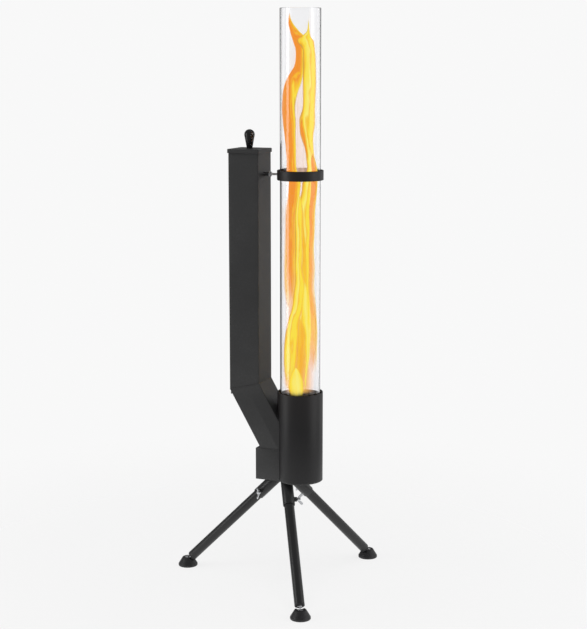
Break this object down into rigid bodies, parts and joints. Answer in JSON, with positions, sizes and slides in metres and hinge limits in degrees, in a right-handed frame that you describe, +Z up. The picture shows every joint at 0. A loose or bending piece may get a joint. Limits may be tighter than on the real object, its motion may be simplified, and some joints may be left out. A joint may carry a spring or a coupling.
{
  "type": "patio heater",
  "caption": "Pellet-fed patio heater: square hopper and slanted chute beside a round burner with a tall glass flame tube, on tripod legs with swivel feet.",
  "frame": {"origin": "on the floor, under the middle of the footprint", "axes": "+X from the hopper to the burner, +Z up along the glass tube, XZ the middle plane"},
  "size_m": [0.467, 0.5315, 1.438],
  "materials": {
    "powder_coat": "fine-textured matt black powder coat",
    "heat_paint": "satin black heat-resistant paint",
    "zinc": "bright zinc plate",
    "stainless": "heat-tinted stainless sheet",
    "glass": "clear borosilicate tube",
    "knob_plastic": "moulded black phenolic",
    "foot_plastic": "moulded black nylon",
    "fibre": "woven ceramic-fibre tape"
  },
  "bodies": {
    "body": {"base_plate": "powder_coat", "inlet_box": "powder_coat", "feed_chute": "powder_coat", "hopper_tube": "powder_coat", "burner_housing": "heat_paint", "feed_ramp": "stainless", "gate_rails": "stainless", "glass_seat": "heat_paint", "glass_gasket": "fibre", "fire_pot": "stainless", "fire_grate": "stainless", "rim_clips": "stainless", "clamp_ring": "heat_paint", "ring_pads": "fibre", "ring_standoff": "powder_coat", "ring_rod": "zinc", "ring_washer": "zinc", "ring_nut": "zinc", "leg_socket_hopper": "powder_coat", "leg_socket_front": "powder_coat", "leg_socket_rear": "powder_coat", "socket_bosses": "powder_coat"},
    "lid": {"hopper_lid": "powder_coat", "lid_knob": "knob_plastic", "lid_screw": "zinc"},
    "glass": {"glass_tube": "glass"},
    "gate": {"gate_plate": "powder_coat"},
    "leg_hopper": {"leg_tube_hopper": "powder_coat", "leg_plug_hopper": "foot_plastic", "foot_stud_hopper": "zinc", "foot_nut_hopper": "zinc"},
    "foot_hopper": {"foot_pad_hopper": "foot_plastic", "foot_clip_hopper": "zinc"},
    "wing_hopper": {"wing_bolt_hopper": "zinc"},
    "leg_front": {"leg_tube_front": "powder_coat", "leg_plug_front": "foot_plastic", "foot_stud_front": "zinc", "foot_nut_front": "zinc"},
    "foot_front": {"foot_pad_front": "foot_plastic", "foot_clip_front": "zinc"},
    "wing_front": {"wing_bolt_front": "zinc"},
    "leg_rear": {"leg_tube_rear": "powder_coat", "leg_plug_rear": "foot_plastic", "foot_stud_rear": "zinc", "foot_nut_rear": "zinc"},
    "foot_rear": {"foot_pad_rear": "foot_plastic", "foot_clip_rear": "zinc"},
    "wing_rear": {"wing_bolt_rear": "zinc"}
  },
  "joints": [
    {"name": "lid_lift", "type": "slide", "parent": "body", "child": "lid", "axis": [0, 0, 1], "range_m": [0, 0.08]},
    {"name": "glass_lift", "type": "slide", "parent": "body", "child": "glass", "axis": [0, 0, 1], "range_m": [0, 0.62]},
    {"name": "gate_pull", "type": "slide", "parent": "body", "child": "gate", "axis": [-1, 0, 0], "range_m": [0, 0.07]},
    {"name": "leg_pull_hopper", "type": "slide", "parent": "body", "child": "leg_hopper", "axis": [-0.7078, 0, -0.7064], "range_m": [0, 0.044]},
    {"name": "foot_swivel_hopper", "type": "hinge", "parent": "leg_hopper", "child": "foot_hopper", "pos_m": [-0.2085, 0, 0.0145], "axis": [0, -1, 0], "range_deg": [-15, 15]},
    {"name": "wing_turn_hopper", "type": "hinge", "parent": "body", "child": "wing_hopper", "pos_m": [0.00716, 0, 0.22973], "axis": [0, -1, 0], "range_deg": [0, 720]},
    {"name": "leg_pull_front", "type": "slide", "parent": "body", "child": "leg_front", "axis": [0.3539, -0.613, -0.7064], "range_m": [0, 0.044]},
    {"name": "foot_swivel_front", "type": "hinge", "parent": "leg_front", "child": "foot_front", "pos_m": [0.2085, -0.24075, 0.0145], "axis": [0.866, 0.5, 0], "range_deg": [-15, 15]},
    {"name": "wing_turn_front", "type": "hinge", "parent": "body", "child": "wing_front", "pos_m": [0.10067, -0.05399, 0.22973], "axis": [0.866, 0.5, 0], "range_deg": [0, 720]},
    {"name": "leg_pull_rear", "type": "slide", "parent": "body", "child": "leg_rear", "axis": [0.3539, 0.613, -0.7064], "range_m": [0, 0.044]},
    {"name": "foot_swivel_rear", "type": "hinge", "parent": "leg_rear", "child": "foot_rear", "pos_m": [0.2085, 0.24075, 0.0145], "axis": [-0.866, 0.5, 0], "range_deg": [-15, 15]},
    {"name": "wing_turn_rear", "type": "hinge", "parent": "body", "child": "wing_rear", "pos_m": [0.10067, 0.05399, 0.22973], "axis": [-0.866, 0.5, 0], "range_deg": [0, 720]}
  ]
}
